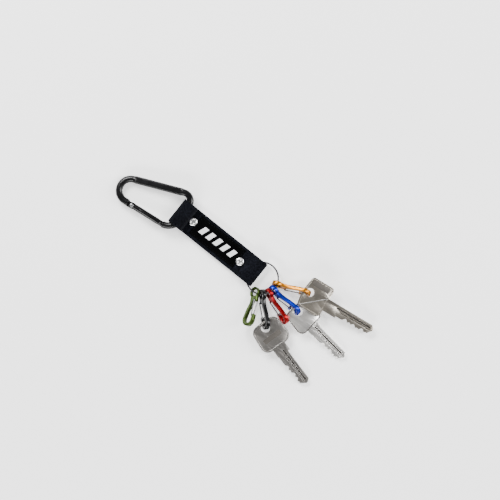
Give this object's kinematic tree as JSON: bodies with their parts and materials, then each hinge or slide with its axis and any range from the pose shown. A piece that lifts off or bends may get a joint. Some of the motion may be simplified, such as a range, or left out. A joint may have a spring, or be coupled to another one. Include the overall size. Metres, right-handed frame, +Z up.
{
  "type": "carabiner keyring",
  "caption": "Webbing key strap with a spring-gate carabiner at one end and a split ring of coloured clips and keys at the other.",
  "frame": {"origin": "centre of the strap's underside, where the back panel rests on the surface", "axes": "+X along the strap from the carabiner to the keys, +Y across the strap, +Z up out of its front"},
  "size_m": [0.2082, 0.0677, 0.013],
  "materials": {
    "webbing": "ribbed black webbing",
    "panel": "smooth black ribbon",
    "print": "raised white print",
    "nickel": "bright nickel plate",
    "anodised_black": "glossy black anodising",
    "steel": "plain steel",
    "ring_steel": "nickel-plated spring steel",
    "anodised_gold": "gold anodising",
    "anodised_blue": "blue anodising",
    "anodised_red": "red anodising",
    "anodised_green": "olive green anodising",
    "key_nickel_dull": "worn nickel plate",
    "key_nickel_bright": "bright nickel plate",
    "key_nickel_grey": "dull nickel plate",
    "wire": "plain spring wire"
  },
  "bodies": {
    "strap": {"strap_webbing": "webbing", "front_panel": "panel", "back_panel": "panel", "front_print": "print", "rivet_caps": "nickel", "rivet_posts": "nickel", "rivet_backs": "nickel"},
    "carabiner": {"carabiner_frame": "anodised_black"},
    "gate": {"carabiner_gate": "anodised_black", "gate_hinge_pin": "steel", "gate_catch_pin": "steel"},
    "plunger": {"gate_plunger": "steel", "gate_spring": "steel"},
    "ring": {"split_ring": "ring_steel"},
    "gold_clip": {"gold_clip": "anodised_gold"},
    "gold_wire_gate": {"gold_clip_gate": "wire"},
    "blue_clip": {"blue_clip": "anodised_blue"},
    "blue_wire_gate": {"blue_clip_gate": "wire"},
    "red_clip": {"red_clip": "anodised_red"},
    "red_wire_gate": {"red_clip_gate": "wire"},
    "black_clip": {"black_clip": "anodised_black"},
    "black_wire_gate": {"black_clip_gate": "wire"},
    "green_clip": {"green_clip": "anodised_green"},
    "green_wire_gate": {"green_clip_gate": "wire"},
    "square_key": {"square_key": "key_nickel_dull"},
    "wide_key": {"wide_key": "key_nickel_bright"},
    "round_key": {"round_key": "key_nickel_grey"}
  },
  "joints": [
    {"name": "carabiner_swing", "type": "hinge", "parent": "strap", "child": "carabiner", "pos_m": [-0.03315, 0, 0.0062], "axis": [0, 1, 0], "range_deg": [-15, 90]},
    {"name": "gate_open", "type": "hinge", "parent": "carabiner", "child": "gate", "pos_m": [-0.06452, -0.01769, 0.00376], "axis": [-0.0777, 0, 0.997], "range_deg": [0, 32], "stiffness_Nm_per_rad": 0.02, "springref_deg": -5.73},
    {"name": "plunger_slide", "type": "slide", "parent": "gate", "child": "plunger", "axis": [0.9902, 0.1167, 0.0772], "range_m": [0, 0.0005037], "deforming": ["gate_spring"]},
    {"name": "ring_slide", "type": "slide", "parent": "strap", "child": "ring", "axis": [1, 0, 0], "range_m": [-0.0015, 0]},
    {"name": "gold_clip_swing", "type": "hinge", "parent": "ring", "child": "gold_clip", "pos_m": [0.05149, 0.00342, 0.00394], "axis": [0.2983, -0.9542, 0.0209], "range_deg": [0, 70]},
    {"name": "gold_clip_gate_open", "type": "hinge", "parent": "gold_clip", "child": "gold_wire_gate", "pos_m": [0.05743, 0.00491, 0.00249], "axis": [0.3202, -0.8923, 0.3182], "range_deg": [0, 18], "stiffness_Nm_per_rad": 0.0004, "springref_deg": -2.86},
    {"name": "blue_clip_swing", "type": "hinge", "parent": "ring", "child": "blue_clip", "pos_m": [0.05193, -0.0014, 0.00398], "axis": [-0.1216, -0.9925, -0.0085], "range_deg": [-10, 0]},
    {"name": "blue_clip_gate_open", "type": "hinge", "parent": "blue_clip", "child": "blue_wire_gate", "pos_m": [0.05777, -0.00292, 0.00206], "axis": [-0.0838, -0.9075, 0.4116], "range_deg": [0, 18], "stiffness_Nm_per_rad": 0.0004, "springref_deg": -2.86},
    {"name": "red_clip_swing", "type": "hinge", "parent": "ring", "child": "red_clip", "pos_m": [0.05071, -0.0053, 0.00389], "axis": [-0.4622, -0.8862, -0.0323], "range_deg": [-1.5, 1.8]},
    {"name": "red_clip_gate_open", "type": "hinge", "parent": "red_clip", "child": "red_wire_gate", "pos_m": [0.0559, -0.00847, 0.00206], "axis": [-0.3503, -0.849, 0.3956], "range_deg": [0, 18], "stiffness_Nm_per_rad": 0.0004, "springref_deg": -2.86},
    {"name": "black_clip_swing", "type": "hinge", "parent": "ring", "child": "black_clip", "pos_m": [0.04786, -0.00884, 0.00369], "axis": [-0.7697, -0.6361, -0.0538], "range_deg": [-1.8, 9.5]},
    {"name": "black_clip_gate_open", "type": "hinge", "parent": "black_clip", "child": "black_wire_gate", "pos_m": [0.05132, -0.0139, 0.00212], "axis": [-0.6738, -0.6244, 0.3951], "range_deg": [0, 18], "stiffness_Nm_per_rad": 0.0004, "springref_deg": -2.86},
    {"name": "green_clip_swing", "type": "hinge", "parent": "ring", "child": "green_clip", "pos_m": [0.04296, -0.0112, 0.00335], "axis": [-0.9758, -0.2079, -0.0682], "range_deg": [-8, 6.5]},
    {"name": "green_clip_gate_open", "type": "hinge", "parent": "green_clip", "child": "green_wire_gate", "pos_m": [0.04674, -0.01486, 0.00708], "axis": [0.731, 0.177, -0.659], "range_deg": [0, 18], "stiffness_Nm_per_rad": 0.0004, "springref_deg": -2.86},
    {"name": "square_key_turn", "type": "hinge", "parent": "gold_clip", "child": "square_key", "pos_m": [0.07325, 0.01331, 0.0077], "axis": [0.0847, 0.0113, 0.9963], "range_deg": [-18, 18]},
    {"name": "wide_key_turn", "type": "hinge", "parent": "blue_clip", "child": "wide_key", "pos_m": [0.07552, -0.00245, 0.00516], "axis": [0.0865, -0.0103, 0.9962], "range_deg": [-14, 18]},
    {"name": "round_key_turn", "type": "hinge", "parent": "black_clip", "child": "round_key", "pos_m": [0.06462, -0.02627, 0.00544], "axis": [0.0845, -0.0215, 0.9962], "range_deg": [-20, 1.8]}
  ],
  "couplings": [
    {"joint": "plunger_slide", "follows": "gate_open", "m_per_rad": 0.0009}
  ]
}
